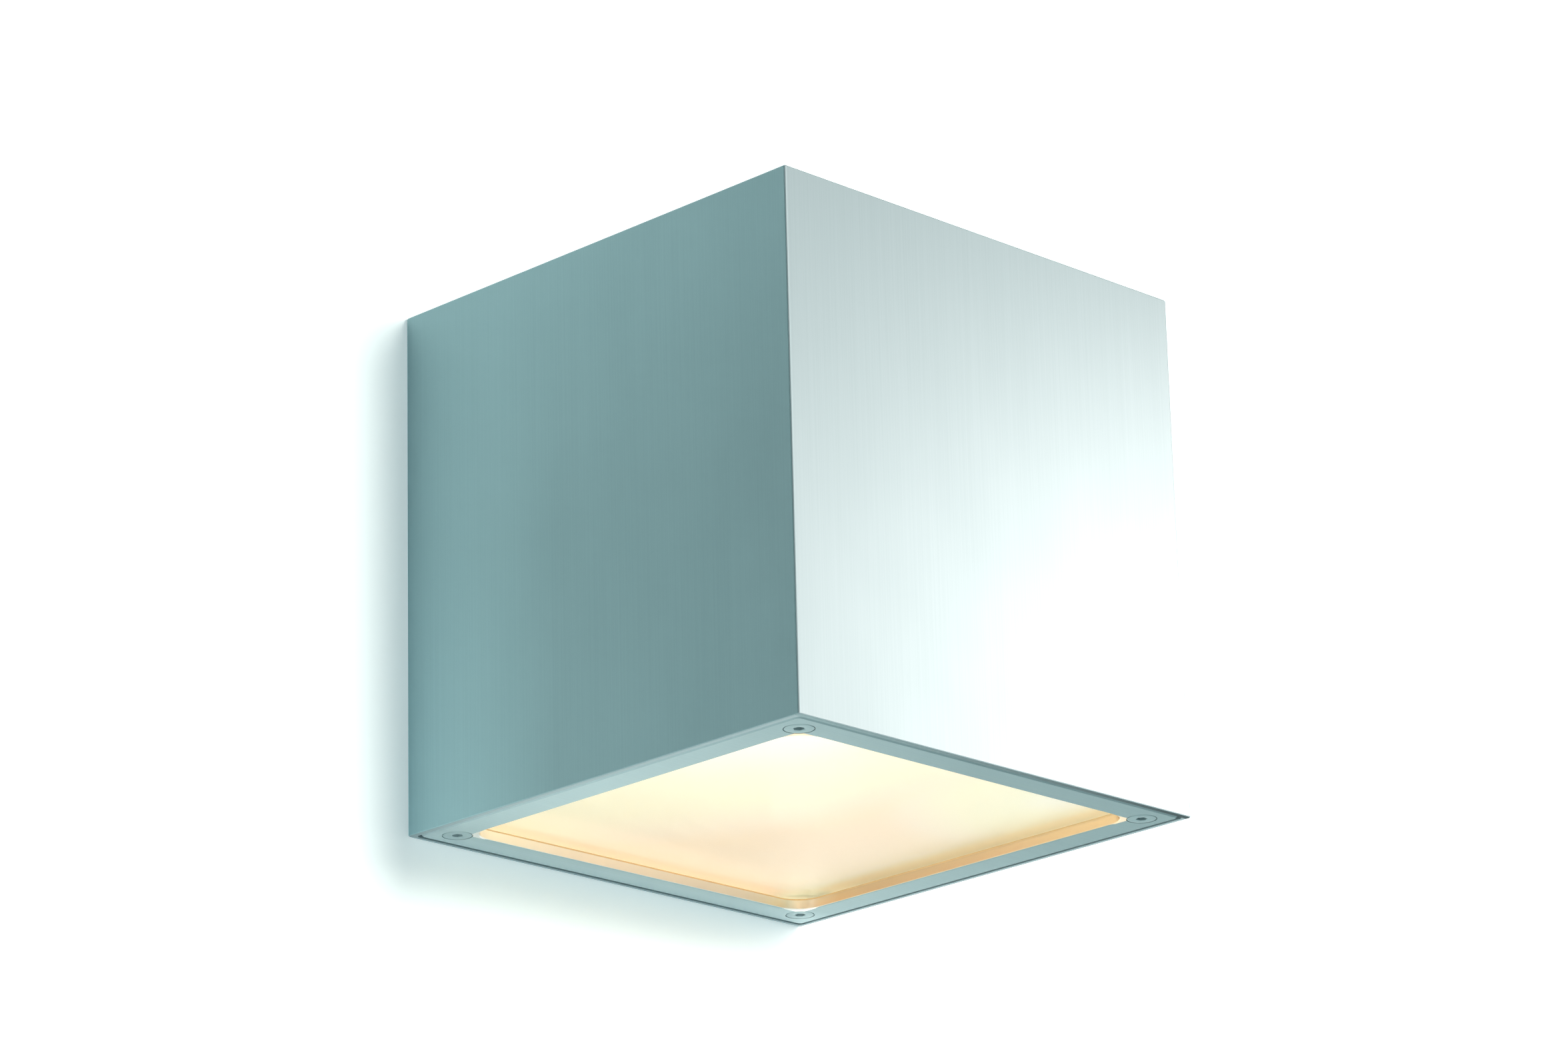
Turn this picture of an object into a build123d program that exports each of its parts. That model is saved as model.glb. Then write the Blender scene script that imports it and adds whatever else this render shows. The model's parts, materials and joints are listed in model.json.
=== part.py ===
from build123d import *
import math
import os

# Wall light: a square metal tube that stands with its back on a wall and shines down through a satin
# glass let into its underside. Millimetres. X runs across the wall, +Y into the wall, +Z up.
# The origin is the middle of the square back face, on the wall.

# Housing, an extruded square tube
width = 110.0
depth = 110.0
height = 110.0
tube_wall = 4.5
rim = 1.1                # wall left standing outside the rebate at each end
outer_round = 0.5        # long edges of the extrusion
inner_round = 1.5
rebate_round = 1.2
end_chamfer = 0.25       # broken edges of both sawn ends
shadow_gap = 0.5         # between the rim and the plates let into the ends
port_inset = 7.0         # from the outer faces to the axis of a screw port
port_radius = 4.5
tap_run_out = 2.0        # hole left beyond the end of a screw
thread_gap = 0.3         # room round a screw that leaves with another piece
screw_gap = 0.2          # room round a screw in a hole that it only passes

# Window in the back wall, and the seal round it
window_side = 13.0       # from the outer faces to the window
window_over = 13.0
window_under = 17.0
window_round = 3.0
seal_inset = 9.0
seal_width = 4.0
seal_depth = 1.5

# Countersunk socket screws in both ends
end_screw_radius = 1.5
end_screw_head = 2.9
end_screw_lip = 0.2
end_screw_length = 14.0
end_screw_key = 2.0
end_screw_key_depth = 1.3

# Diffuser frame in the lower end
frame_web = 2.0
frame_border = 6.85      # from the frame's outer edge to its opening
frame_chamfer = 0.4
aperture_chamfer = 0.2
pocket_wall = 2.6
screw_land = 1.5         # metal between a screw's head and the opening
glass_thickness = 3.0
glass_gap = 0.4
glass_chamfer = 0.3
glass_lap = 1.1          # how far the glass covers the metal at its corners
bead_thickness = 0.5
bead_lap = 0.5           # how far the bonding bead stays back from the opening
gasket_thickness = 1.0
gasket_lap = 0.6

# Top plate in the upper end
top_thickness = 3.0

# Wall bracket: one pressed plate with a tab folded forward at the top and at the bottom
bracket_thickness = 2.0
bracket_side_gap = 4.0   # between its sides and the window
bracket_bend = 1.0
top_tab_relief = 8.0
top_tab_length = 16.0
bottom_tab_relief = 3.0
bottom_tab_length = 18.0
slot_edge = 8.0          # from the bracket's side to the middle of a slot
slot_width = 5.0
slot_length = 12.0
cable_hole_radius = 8.0
cable_hole_drop = 12.0   # below the terminal block
cable_radius = 3.75
grommet_flange = 10.5
grommet_flange_thickness = 1.6
grommet_length = 9.0
grommet_lip = 4.5
grommet_wall = 1.5
earth_inset = 14.0       # from the bracket's side to the earth screw
earth_rise = 14.0

# Fixing of the housing on the bracket's bottom tab
angle_thickness = 2.0
angle_bend = 1.8
angle_drop = 7.5
rivet_radius = 1.25
rivet_head = 2.1
rivet_dome = 1.2
rivet_round = 0.9
rivet_inset = 17.0       # from the end of the angle to a rivet
rivet_drop = 3.0
fixing_edge = 7.0        # from the side of the bottom tab to a fixing screw
fixing_setback = 6.0     # from the front of the bottom tab to a fixing screw
fixing_tail = 1.0
nut_side = 7.0
nut_corner = 0.6
nut_thickness = 3.0

# Terminal block
block_drop = 11.5        # from the arm down to the block
block_depth = 15.0
block_height = 17.0
block_side = 3.9
block_round = 1.5
block_well = 5.0         # depth of the well for its fixing screw
pole_spacing = 13.0
clamp_radius = 2.6
clamp_inset = 1.0
clamp_screw_radius = 1.5
clamp_screw_spacing = 8.0
clamp_screw_sink = 1.5
clamp_screw_slot = 0.6

# Lamp arm
arm_drop = 13.5          # from the window's upper edge to the arm's underside
arm_thickness = 1.5
arm_root_width = 22.0
arm_leg = 10.5
arm_bend = 1.0
arm_screw_spacing = 12.0
arm_screw_rise = 7.0
arm_margin = 2.0         # metal outside the lampholder's ears

# Reflector, folded from thin sheet
sheet = 0.8
reflector_side_gap = 2.0 # inside the window, so that the housing passes over it
reflector_front_gap = 12.0
reflector_back_gap = 22.0
reflector_under_gap = 2.0
reflector_skirt = 3.0
reflector_round = 5.0
panel_margin = 7.5       # top panel before and behind the lampholder
rivet_margin = 3.0       # from the lampholder to a rivet of the top panel

# Lampholder
holder_wall = 2.6
holder_round = 2.5
ear_out = 6.0            # from the holder's side to the middle of an ear's screw
ear_radius = 4.0
ear_height = 5.0
socket_depth = 6.0
socket_gap = 0.4
socket_round = 1.0
slot_room = 1.5          # above the lamp's pins
contact_end = 3.0        # ceramic above the contacts
contact_thickness = 0.4
contact_width = 3.6
contact_room = 0.5

# Lamp
lamp_base_width = 14.0
lamp_base_depth = 8.0
lamp_base_height = 13.0
lamp_base_round = 1.5
lamp_base_chamfer = 0.5
lamp_seat = 5.5          # how far the lamp's base sits in the holder
groove_depth = 0.6
groove_height = 3.5
groove_rise = 2.0
pin_spacing = 9.0
pin_width = 3.0
pin_length = 6.5
pin_radius = 0.45
pin_gap = 0.3
envelope_radius = 6.5
envelope_length = 24.0
envelope_wall = 1.0
filament_radius = 0.5
filament_width = 7.0
filament_drop = 12.0
lead_radius = 0.25

# Small round-headed screws
m3_radius = 1.5
m3_head = 2.75
m3_head_height = 1.8
m3_key = 2.5
m4_radius = 2.0
m4_head = 3.8
m4_head_height = 2.4
m4_key = 3.0
head_round = 0.8
key_depth = 1.2
washer_radius = 5.0
washer_thickness = 1.0

# Wires from the terminal block to the lampholder
wire_radius = 1.0
wire_seat = 5.0
wire_hole = 1.8          # holes that the wires pass through
wire_spacing = 10.0      # where they enter the lampholder
wire_side_gap = 2.5      # between a wire and the root of the arm
wire_over = 6.0          # how high they run above the arm
wire_under = 1.5         # where they start to lean out, below the arm
wire_dip = 0.4           # how far their line falls and rises on its way
wire_hump = 0.6
wire_rise = 3.0          # straight length out of the block

# Places that follow from the sizes above
top = height / 2
bottom = -height / 2
middle_y = -depth / 2
bore_width = width - 2 * tube_wall
bore_depth = depth - 2 * tube_wall
rebate_width = width - 2 * rim
rebate_depth = depth - 2 * rim
plate_width = rebate_width - 2 * shadow_gap
plate_depth = rebate_depth - 2 * shadow_gap
port_x = width / 2 - port_inset
port_y = depth / 2 - port_inset
ports = [(x, middle_y + y) for x in (-port_x, port_x) for y in (-port_y, port_y)]

frame_thickness = frame_web + bead_thickness + glass_thickness
glass_under = bottom + frame_web + bead_thickness
frame_top = bottom + frame_thickness
lower_ledge = frame_top + gasket_thickness
aperture_width = plate_width - 2 * frame_border
aperture_depth = plate_depth - 2 * frame_border
corner_reach = end_screw_head + screw_land
corner_cut = 1 - math.sqrt(0.5)
aperture_round = (aperture_width / 2 - port_x + corner_reach * math.sqrt(0.5)) / corner_cut
glass_corner_gap = corner_reach - glass_lap
pocket_width = plate_width - 2 * pocket_wall
pocket_depth = plate_depth - 2 * pocket_wall
glass_width = pocket_width - 2 * glass_gap
glass_depth = pocket_depth - 2 * glass_gap
top_under = top - top_thickness
upper_ledge = top_under - gasket_thickness

window_width = width - 2 * window_side
window_top = top - window_over
window_bottom = bottom + window_under
tab_under = window_bottom + angle_thickness
tab_over = tab_under + bracket_thickness
bracket_width = window_width - 2 * bracket_side_gap
top_tab_width = bracket_width - 2 * top_tab_relief
bottom_tab_width = bracket_width - 2 * bottom_tab_relief
slot_x = bracket_width / 2 - slot_edge
fixing_x = bottom_tab_width / 2 - fixing_edge
fixings = [(x, fixing_setback - bottom_tab_length) for x in (-fixing_x, fixing_x)]
rivet_x = bottom_tab_width / 2 - rivet_inset
rivet_z = window_bottom - rivet_drop
nut_top = tab_over + nut_thickness

arm_z = window_top - arm_drop
arm_top = arm_z + arm_thickness
arm_face = -bracket_thickness - arm_thickness
arm_screw_z = arm_z + arm_screw_rise
arm_screw_x = [-arm_screw_spacing / 2, arm_screw_spacing / 2]
block_top = arm_z - block_drop
block_z = block_top - block_height
block_middle = block_top - block_height / 2
block_front = -bracket_thickness - block_depth
block_width = pole_spacing + 2 * clamp_radius + 2 * block_side
pole_x = pole_spacing / 2
pole_y = -bracket_thickness - block_depth / 2
clamp_screw_z = [block_middle - clamp_screw_spacing / 2, block_middle + clamp_screw_spacing / 2]
cable_hole_z = block_z - cable_hole_drop
earth_x = bracket_width / 2 - earth_inset
earth_z = block_z + earth_rise

panel_under = arm_z - sheet
reflector_width = window_width - 2 * reflector_side_gap
reflector_depth = depth - reflector_front_gap - reflector_back_gap
reflector_bottom = nut_top + fixing_tail + reflector_under_gap
lamp_y = -reflector_back_gap - reflector_depth / 2
slot_height = pin_length + slot_room
holder_width = lamp_base_width + 2 * socket_gap + 2 * holder_wall
holder_depth = lamp_base_depth + 2 * socket_gap + 2 * holder_wall
holder_under = panel_under - contact_end - slot_height - socket_depth
socket_top = holder_under + socket_depth
slot_top = socket_top + slot_height
ear_x = holder_width / 2 + ear_out
ears = [(x, lamp_y) for x in (-ear_x, ear_x)]
panel_width = 2 * (ear_x + ear_radius + arm_margin)
panel_depth = holder_depth + 2 * panel_margin
panel_rivet_y = holder_depth / 2 + rivet_margin
panel_rivets = [(0, lamp_y + y) for y in (-panel_rivet_y, panel_rivet_y)]
wire_holes = [(x, lamp_y) for x in (-wire_spacing / 2, wire_spacing / 2)]
lamp_base_top = holder_under + lamp_seat
lamp_base_under = lamp_base_top - lamp_base_height
pin_gap_width = 2 * (pin_radius + pin_gap)


# Shapes used more than once

def slab(size_x, size_y, low, high, radius=0.0, y=middle_y):
    """An upright block with rounded corners, centred on the tube unless another y is given."""
    outline = RectangleRounded(size_x, size_y, radius) if radius else Rectangle(size_x, size_y)
    return Pos(0, y, low) * extrude(outline, high - low)


def rod(radius, low, high, x, y):
    """An upright cylinder."""
    return Pos(x, y, low) * extrude(Circle(radius), high - low)


def bar(radius, back, front, x, z):
    """A cylinder that runs out from the wall, from y = back to y = front."""
    return Pos(x, back, z) * Rot(X=90) * extrude(Circle(radius), back - front)


def turned(*points):
    """A solid of revolution about Z, from the corners of its half outline in X and Z."""
    return revolve(Plane.XZ * make_face(Polyline(*points, close=True)), Axis.Z)


def key_hole(flats, deep):
    """The hexagonal hole of a socket screw, going up from the face of its head."""
    return extrude(RegularPolygon(flats / 2, 6, major_radius=False), deep)


def countersunk_screw(length):
    """A screw that points along +Z, with the face of its head at the origin."""
    radius = end_screw_radius
    cone_end = end_screw_lip + end_screw_head - radius
    tip = radius / 2
    body = turned(
        (0, 0), (end_screw_head, 0), (end_screw_head, end_screw_lip), (radius, cone_end),
        (radius, length - tip), (radius - tip, length), (0, length),
    )
    return body - key_hole(end_screw_key, end_screw_key_depth)


def countersink(radius, head, through):
    """A countersunk shank or its hole, with the wide end at the origin, going up."""
    lip = end_screw_lip
    cone_end = lip + head - radius
    return turned((0, 0), (head, 0), (head, lip), (radius, cone_end), (radius, through), (0, through))


def round_head_screw(radius, head, head_height, length, key):
    """A screw that points along +Z, with the underside of its head at the origin."""
    crown = Pos(0, 0, -head_height) * extrude(Circle(head), head_height)
    crown = fillet(crown.edges().group_by(Axis.Z)[0], head_round)
    crown -= Pos(0, 0, -head_height) * key_hole(key, key_depth)
    return crown + extrude(Circle(radius), length)


def group(pieces):
    """Several like pieces that share one node."""
    return Compound([piece.solid() for piece in pieces])


# Housing

def housing_tube():
    """The extruded tube, cut to length and milled for everything that is let into it."""
    tube = slab(width, depth, bottom, top, outer_round)
    ends = tube.faces().sort_by(Axis.Z)
    tube = chamfer(ends[0].edges() + ends[-1].edges(), end_chamfer)
    tube -= slab(bore_width, bore_depth, bottom, top, inner_round)
    for x, y in ports:
        tube += rod(port_radius, bottom, top, x, y)
    tube -= slab(rebate_width, rebate_depth, bottom, lower_ledge, rebate_round)
    tube -= slab(rebate_width, rebate_depth, upper_ledge, top, rebate_round)
    for x, y in ports:
        tube -= rod(end_screw_radius + thread_gap, bottom, bottom + end_screw_length + tap_run_out, x, y)
        tube -= rod(end_screw_radius, top - end_screw_length - tap_run_out, top, x, y)
    window = RectangleRounded(window_width, window_top - window_bottom, window_round)
    tube -= Pos(0, 0, (window_top + window_bottom) / 2) * Rot(X=90) * extrude(window, tube_wall)
    tube -= wall_seal()
    for x in (-rivet_x, rivet_x):
        tube -= Pos(x, 0, rivet_z) * Rot(X=90) * countersink(rivet_radius, rivet_head, tube_wall)
    return tube


def wall_seal():
    """The foam cord in the groove round the window, level with the back of the tube."""
    across = width - 2 * seal_inset
    up = height - 2 * seal_inset
    outer = RectangleRounded(across + seal_width, up + seal_width, seal_width)
    inner = RectangleRounded(across - seal_width, up - seal_width, seal_width / 2)
    return Rot(X=90) * extrude(outer - inner, seal_depth)


def top_plate():
    plate = slab(plate_width, plate_depth, top_under, top, rebate_round)
    plate = chamfer(plate.faces().sort_by(Axis.Z)[-1].edges(), frame_chamfer)
    hole = countersink(end_screw_radius + screw_gap, end_screw_head + screw_gap, top_thickness)
    for x, y in ports:
        plate -= Pos(x, y, top) * Rot(X=180) * hole
    return plate


def end_gasket(low, high):
    """A flat ring on a ledge of the tube, widened over the ends of the screw ports."""
    ring = slab(plate_width, plate_depth, low, high, rebate_round)
    ring -= slab(bore_width - 2 * gasket_lap, bore_depth - 2 * gasket_lap, low, high)
    for x, y in ports:
        ring += rod(port_radius, low, high, x, y)
        ring -= rod(end_screw_radius + thread_gap, low, high, x, y)
    return ring


def end_screws(face, turn):
    screw = Rot(X=turn) * countersunk_screw(end_screw_length)
    return group([Pos(x, y, face) * screw for x, y in ports])


def fixing_angle():
    """The folded angle inside the back wall, whose leg lies under the bracket's bottom tab."""
    low = window_bottom - angle_drop
    leg_end = -bottom_tab_length
    back = -tube_wall
    outline = Polyline(
        (leg_end, window_bottom), (back - angle_thickness, window_bottom), (back - angle_thickness, low),
        (back, low), (back, tab_under), (leg_end, tab_under), close=True,
    )
    section = make_face(outline)
    heel = section.vertices().sort_by(lambda v: abs(v.X - back) + abs(v.Y - tab_under))[0]
    section = fillet(heel, angle_bend)
    angle = extrude(Plane.YZ * section, bottom_tab_width / 2, both=True)
    for x, y in fixings:
        angle -= rod(m4_radius + screw_gap, window_bottom, tab_under, x, y)
    for x in (-rivet_x, rivet_x):
        angle -= bar(rivet_radius, back, back - angle_thickness, x, rivet_z)
    return angle


def angle_rivets():
    grip = tube_wall + angle_thickness
    dome = Pos(0, 0, grip) * extrude(Circle(rivet_head), rivet_dome)
    dome = fillet(dome.edges().group_by(Axis.Z)[-1], rivet_round)
    rivet = Rot(X=90) * (countersink(rivet_radius, rivet_head, grip) + dome)
    return group([Pos(x, 0, rivet_z) * rivet for x in (-rivet_x, rivet_x)])


def fixing_screws():
    length = angle_thickness + bracket_thickness + nut_thickness + fixing_tail
    screw = round_head_screw(m4_radius, m4_head, m4_head_height, length, m4_key)
    return group([Pos(x, y, window_bottom) * screw for x, y in fixings])


def fixing_nuts():
    nut = extrude(Rectangle(nut_side, nut_side), nut_thickness)
    nut = chamfer(nut.edges().filter_by(Axis.Z), nut_corner) - extrude(Circle(m4_radius), nut_thickness)
    return group([Pos(x, y, tab_over) * nut for x, y in fixings])


# Diffuser

def cut_corners(size_x, size_y, low, high):
    """A block whose corners are cut off to pass the frame's screws."""
    block = slab(size_x, size_y, low, high)
    cutter = Pos(-glass_corner_gap, 0, low) * extrude(
        Rectangle(2 * port_inset, 4 * port_inset, align=(Align.MIN, Align.CENTER)), high - low
    )
    for x, y in ports:
        outward = math.degrees(math.atan2(math.copysign(1, y - middle_y), math.copysign(1, x)))
        block -= Pos(x, y, 0) * Rot(Z=outward) * cutter
    return block


def glass_frame():
    """The metal frame: a web round the opening, a pocket behind it for the glass, and four screw holes."""
    frame = slab(plate_width, plate_depth, bottom, frame_top, rebate_round)
    frame = chamfer(frame.faces().sort_by(Axis.Z)[0].edges(), frame_chamfer)
    frame -= slab(aperture_width, aperture_depth, bottom, frame_top, aperture_round)
    opening = frame.faces().sort_by(Axis.Z)[0].inner_wires()[0]
    frame = chamfer(opening.edges(), aperture_chamfer)
    frame -= cut_corners(pocket_width, pocket_depth, bottom + frame_web, frame_top)
    hole = countersink(end_screw_radius + screw_gap, end_screw_head + screw_gap, frame_thickness)
    for x, y in ports:
        frame -= Pos(x, y, bottom) * hole
    return frame


def glass_bead():
    """The bead of silicone that bonds the glass into the frame."""
    low = bottom + frame_web
    ring = cut_corners(glass_width, glass_depth, low, glass_under)
    inner_width = aperture_width + 2 * bead_lap
    inner_depth = aperture_depth + 2 * bead_lap
    return ring - slab(inner_width, inner_depth, low, glass_under, aperture_round)


def diffuser_glass():
    glass = cut_corners(glass_width, glass_depth, glass_under, frame_top)
    return chamfer(glass.faces().sort_by(Axis.Z)[0].edges(), glass_chamfer)


# Wall bracket and what is fixed to it

def folded_tab(width_of_tab, length, low, high):
    """What stays of a tab in front of the bracket's bends, centred across it."""
    return slab(width_of_tab, length, low, high, y=-length / 2)


def wall_bracket():
    bend = bracket_bend + bracket_thickness
    rise = window_top - tab_under
    plate = Rectangle(bend, rise, align=(Align.MAX, Align.MIN))
    plate = fillet(plate.vertices().group_by(Axis.X)[-1], bend)
    hollow = Rectangle(bend, rise - 2 * bracket_thickness, align=(Align.MAX, Align.MIN))
    hollow = fillet(hollow.vertices().group_by(Axis.X)[-1], bracket_bend)
    section = plate - Pos(-bracket_thickness, bracket_thickness) * hollow
    bracket = Pos(0, 0, tab_under) * extrude(Plane.YZ * section, bracket_width / 2, both=True)
    top_tab = folded_tab(top_tab_width, top_tab_length - bend, window_top - bracket_thickness, window_top)
    bottom_tab = folded_tab(bottom_tab_width, bottom_tab_length - bend, tab_under, tab_over)
    bracket += Pos(0, -bend, 0) * (top_tab + bottom_tab)
    notch = m4_radius + thread_gap
    for x, y in fixings:
        bracket -= rod(notch, tab_under, tab_over, x, y)
        mouth = Rectangle(2 * notch, fixing_setback, align=(Align.CENTER, Align.MAX))
        bracket -= Pos(x, y, tab_under) * extrude(mouth, bracket_thickness)
    slot = Rot(X=90) * extrude(SlotOverall(slot_length, slot_width), bracket_thickness)
    for x in (-slot_x, slot_x):
        bracket -= Pos(x, 0, cable_hole_z) * slot
    bracket -= bar(cable_hole_radius, 0, -bracket_thickness, 0, cable_hole_z)
    bracket -= bar(m4_radius, 0, -bracket_thickness, earth_x, earth_z)
    bracket -= bar(m3_radius, 0, -bracket_thickness, 0, block_middle)
    for x in arm_screw_x:
        bracket -= bar(m3_radius, 0, -bracket_thickness, x, arm_screw_z)
    return bracket


def cable_grommet():
    """A push-in grommet: neck, flange, and a cone that closes on the cable."""
    face = bracket_thickness + grommet_flange_thickness
    sleeve = cable_radius + grommet_wall
    grommet = turned(
        (cable_hole_radius - grommet_wall, 0), (cable_hole_radius, 0),
        (cable_hole_radius, bracket_thickness),
        (grommet_flange, bracket_thickness), (grommet_flange, face), (cable_hole_radius, face),
        (sleeve, grommet_lip + grommet_wall), (sleeve, grommet_length), (cable_radius, grommet_length),
        (cable_radius, grommet_lip), (cable_hole_radius - grommet_wall, bracket_thickness),
    )
    return Pos(0, 0, cable_hole_z) * Rot(X=90) * grommet


def terminal_block():
    """The moulded body, with a bore for each clamp, holes for their screws and a well between them."""
    body = slab(block_width, block_depth, block_z, block_top, block_round, y=pole_y)
    for x in (-pole_x, pole_x):
        body -= rod(clamp_radius, block_z, block_top, x, pole_y)
        for z in clamp_screw_z:
            body -= bar(clamp_screw_radius + screw_gap, pole_y, block_front, x, z)
    body -= bar(m3_radius + screw_gap, -bracket_thickness, block_front, 0, block_middle)
    body -= bar(m3_head + screw_gap, block_front + block_well, block_front, 0, block_middle)
    return body


def terminal_clamps():
    low = block_z + clamp_inset
    high = block_top - clamp_inset
    clamps = []
    for x in (-pole_x, pole_x):
        clamp = rod(clamp_radius, low, high, x, pole_y) - rod(wire_radius, low, high, x, pole_y)
        for z in clamp_screw_z:
            clamp -= bar(clamp_screw_radius, pole_y, block_front, x, z)
        clamps.append(clamp)
    return group(clamps)


def clamp_screws():
    """The screws that press on the wires, each with a straight slot in its head."""
    face = block_front + clamp_screw_sink
    slot = Box(4 * clamp_screw_radius, 2 * clamp_screw_slot, clamp_screw_slot)
    screws = []
    for x in (-pole_x, pole_x):
        for z in clamp_screw_z:
            screw = bar(clamp_screw_radius, pole_y - wire_radius, face, x, z)
            screws.append(screw - Pos(x, face, z) * slot)
    return group(screws)


def block_screw():
    floor = block_front + block_well
    screw = round_head_screw(m3_radius, m3_head, m3_head_height, -floor, m3_key)
    return Pos(0, floor, block_middle) * Rot(X=-90) * screw


def earth_screw():
    length = bracket_thickness + washer_thickness
    screw = round_head_screw(m4_radius, m4_head, m4_head_height, length, m4_key)
    return Pos(earth_x, -length, earth_z) * Rot(X=-90) * screw


def earth_washer():
    ring = extrude(Circle(washer_radius) - Circle(m4_radius), washer_thickness)
    return Pos(earth_x, -bracket_thickness, earth_z) * Rot(X=90) * ring


# Lamp arm, reflector and lampholder

def lamp_arm():
    """A strip folded up against the bracket, which widens into a plate over the lampholder."""
    bend = arm_bend + arm_thickness
    heel = Rectangle(bend, bend, align=(Align.MAX, Align.MIN))
    heel = fillet(heel.vertices().group_by(Axis.X)[-1].sort_by(Axis.Y)[0], bend)
    heel -= Pos(-bend, bend) * Circle(arm_bend)
    arm = Pos(0, -bracket_thickness, arm_z) * extrude(Plane.YZ * heel, arm_root_width / 2, both=True)
    front = -bracket_thickness - bend
    neck = lamp_y + panel_depth / 2
    leg_y = -bracket_thickness - arm_thickness / 2
    arm += slab(arm_root_width, arm_thickness, arm_z + bend, arm_z + arm_leg, y=leg_y)
    arm += slab(arm_root_width, front - neck, arm_z, arm_top, y=(front + neck) / 2)
    arm += slab(panel_width, panel_depth, arm_z, arm_top, y=lamp_y)
    for x in arm_screw_x:
        arm -= bar(m3_radius + screw_gap, -bracket_thickness, arm_face, x, arm_screw_z)
    for x, y in ears:
        arm -= rod(m3_radius, arm_z, arm_top, x, y)
    for x, y in wire_holes:
        arm -= rod(wire_hole, arm_z, arm_top, x, y)
    for x, y in panel_rivets:
        arm -= rod(rivet_radius, arm_z, arm_top, x, y)
    return arm


def arm_screws():
    screw = Rot(X=-90) * round_head_screw(m3_radius, m3_head, m3_head_height, -arm_face, m3_key)
    return group([Pos(x, arm_face, arm_screw_z) * screw for x in arm_screw_x])


def hood(inset, ceiling):
    """A four-sided hood with an upright skirt, drawn in all round by inset."""
    def outline(size_x, size_y, z):
        face = RectangleRounded(size_x - 2 * inset, size_y - 2 * inset, reflector_round - inset)
        return Pos(0, lamp_y, z) * face

    wide = outline(reflector_width, reflector_depth, reflector_bottom + reflector_skirt)
    narrow = outline(panel_width, panel_depth, ceiling)
    return loft([wide, narrow]) + Pos(0, 0, -reflector_skirt) * extrude(wide, reflector_skirt)


def reflector():
    shade = hood(0, arm_z) - hood(sheet, panel_under)
    for x, y in ears:
        shade -= rod(m3_radius + screw_gap, panel_under, arm_z, x, y)
    for x, y in wire_holes:
        shade -= rod(wire_hole, panel_under, arm_z, x, y)
    for x, y in panel_rivets:
        shade -= rod(rivet_radius, panel_under, arm_z, x, y)
    return shade


def reflector_rivets():
    """Rivets that join the reflector's top panel to the arm, domed on both sides."""
    thin = rivet_dome / 2
    head = Pos(0, 0, panel_under - thin) * extrude(Circle(rivet_head), thin)
    head = fillet(head.edges().group_by(Axis.Z)[0], thin / 2)
    tail = Pos(0, 0, arm_top) * extrude(Circle(rivet_head), thin)
    tail = fillet(tail.edges().group_by(Axis.Z)[-1], thin / 2)
    rivet = head + Pos(0, 0, panel_under) * extrude(Circle(rivet_radius), arm_top - panel_under) + tail
    return group([Pos(x, y, 0) * rivet for x, y in panel_rivets])


def lampholder():
    """The ceramic body: a square tower with an ear on each side, a socket and two slots for the pins."""
    ear_under = panel_under - ear_height
    body = slab(holder_width, holder_depth, holder_under, panel_under, holder_round, y=lamp_y)
    ear_bar = SlotOverall(2 * (ear_x + ear_radius), 2 * ear_radius)
    body += Pos(0, lamp_y, ear_under) * extrude(ear_bar, ear_height)
    socket_width = lamp_base_width + 2 * socket_gap
    socket_across = lamp_base_depth + 2 * socket_gap
    body -= slab(socket_width, socket_across, holder_under, socket_top, socket_round, y=lamp_y)
    pin_slot = slab(
        contact_width + 2 * contact_room, pin_gap_width + 2 * (contact_thickness + contact_room),
        socket_top, slot_top, y=lamp_y,
    )
    for x in (-pin_spacing / 2, pin_spacing / 2):
        body -= Pos(x, 0, 0) * pin_slot
    for x, y in ears:
        body -= rod(m3_radius + screw_gap, ear_under, panel_under, x, y)
    for x, y in wire_holes:
        body -= rod(wire_radius, slot_top, panel_under, x, y)
    return body


def lamp_contacts():
    """Two spring clips, each a strip folded over one of the lamp's pins."""
    low = socket_top + contact_room
    clip = slab(contact_width, pin_gap_width + 2 * contact_thickness, low, slot_top, y=lamp_y)
    clip -= slab(contact_width, pin_gap_width, low, slot_top - contact_thickness, y=lamp_y)
    return group([Pos(x, 0, 0) * clip for x in (-pin_spacing / 2, pin_spacing / 2)])


def holder_screws():
    length = ear_height + sheet + arm_thickness + fixing_tail
    screw = round_head_screw(m3_radius, m3_head, m3_head_height, length, m3_key)
    return group([Pos(x, y, panel_under - ear_height) * screw for x, y in ears])


def sleeved_wire(side):
    """A wire out of the terminal block, past the root of the arm, along it and down into the holder."""
    beside = side * (arm_root_width / 2 + wire_side_gap + wire_radius)
    start = side * pole_x
    end = side * wire_spacing / 2
    run_z = arm_top + wire_over
    along = lamp_y - pole_y
    points = [
        (start, pole_y, block_top - wire_seat),
        (start, pole_y, block_top + wire_rise),
        (beside, pole_y + 0.016 * along, arm_z - wire_under),
        (beside + 0.04 * end, pole_y + 0.07 * along, run_z - wire_dip),
        (beside - 0.4 * end, pole_y + 0.32 * along, run_z + wire_hump),
        (end + 0.7 * end, pole_y + 0.68 * along, run_z),
        (end, lamp_y, run_z + wire_dip),
        (end, lamp_y, slot_top),
    ]
    corners = [Vector(*point) for point in points]
    radii = []
    for before, here, after in zip(corners, corners[1:], corners[2:]):
        half_turn = math.radians((here - before).get_angle(after - here)) / 2
        shorter_run = min((here - before).length, (after - here).length)
        radii.append(0.45 * shorter_run / math.tan(half_turn))
    path = FilletPolyline(*points, radius=radii)
    wire = sweep(Pos(*points[0]) * Circle(wire_radius), path=path)
    print("wire bends, mm:", [round(radius, 1) for radius in radii])
    print("wire volume, and its section times its length:", round(wire.volume, 2), end=" ")
    print(round(math.pi * wire_radius**2 * path.length, 2))
    return wire


# Lamp

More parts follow.
